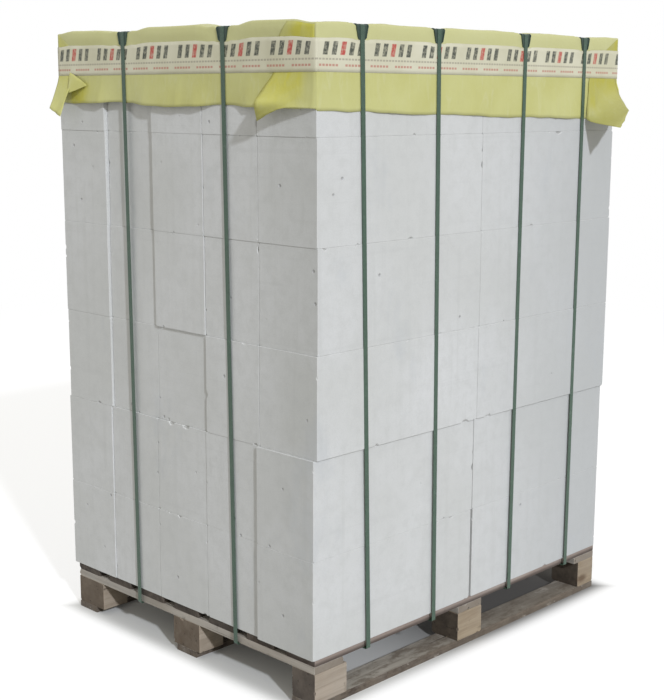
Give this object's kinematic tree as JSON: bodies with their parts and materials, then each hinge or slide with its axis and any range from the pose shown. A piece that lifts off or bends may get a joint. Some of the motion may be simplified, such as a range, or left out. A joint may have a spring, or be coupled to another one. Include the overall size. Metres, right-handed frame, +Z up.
{
  "type": "pallet of aerated concrete blocks",
  "caption": "Wooden pallet stacked with plain white aerated concrete blocks, capped by a taped yellow film cover and bound with green straps over corner protectors.",
  "frame": {"origin": "middle of the pallet's underside, on the floor", "axes": "+X along the deck boards, the pallet's 1200 mm side; +Y along its 980 mm side; +Z up"},
  "size_m": [1.2743, 1.165, 1.6398],
  "materials": {
    "aerated_concrete": "matte",
    "weathered_wood": "matte",
    "pale_wood": "matte",
    "film": "satin",
    "tape": "gloss",
    "strap": "satin",
    "protector": "satin"
  },
  "bodies": {
    "root": {"deck_board_1": "weathered_wood", "deck_board_2": "weathered_wood", "deck_board_3": "weathered_wood", "deck_board_4": "weathered_wood", "deck_board_5": "weathered_wood", "deck_board_6": "weathered_wood", "deck_board_7": "weathered_wood", "stringer_1": "weathered_wood", "stringer_2": "weathered_wood", "stringer_3": "weathered_wood", "pallet_block_1": "pale_wood", "pallet_block_2": "pale_wood", "pallet_block_3": "pale_wood", "pallet_block_4": "pale_wood", "pallet_block_5": "pale_wood", "pallet_block_6": "pale_wood", "pallet_block_7": "pale_wood", "pallet_block_8": "pale_wood", "pallet_block_9": "pale_wood", "runner_1": "weathered_wood", "runner_2": "weathered_wood", "runner_3": "weathered_wood", "block_course_1": "aerated_concrete", "block_course_2": "aerated_concrete", "block_course_3": "aerated_concrete", "block_course_4": "aerated_concrete", "block_course_5": "aerated_concrete", "block_course_6": "aerated_concrete", "film_cover": "film", "tape_band": "tape", "strap_cross_1": "strap", "strap_cross_2": "strap", "strap_cross_3": "strap", "strap_cross_4": "strap", "strap_length_1": "strap", "strap_length_2": "strap", "edge_protector_1": "protector", "edge_protector_2": "protector", "edge_protector_3": "protector", "edge_protector_4": "protector", "edge_protector_5": "protector", "edge_protector_6": "protector", "edge_protector_7": "protector", "edge_protector_8": "protector", "edge_protector_9": "protector", "edge_protector_10": "protector", "edge_protector_11": "protector", "edge_protector_12": "protector"}
  },
  "joints": []
}
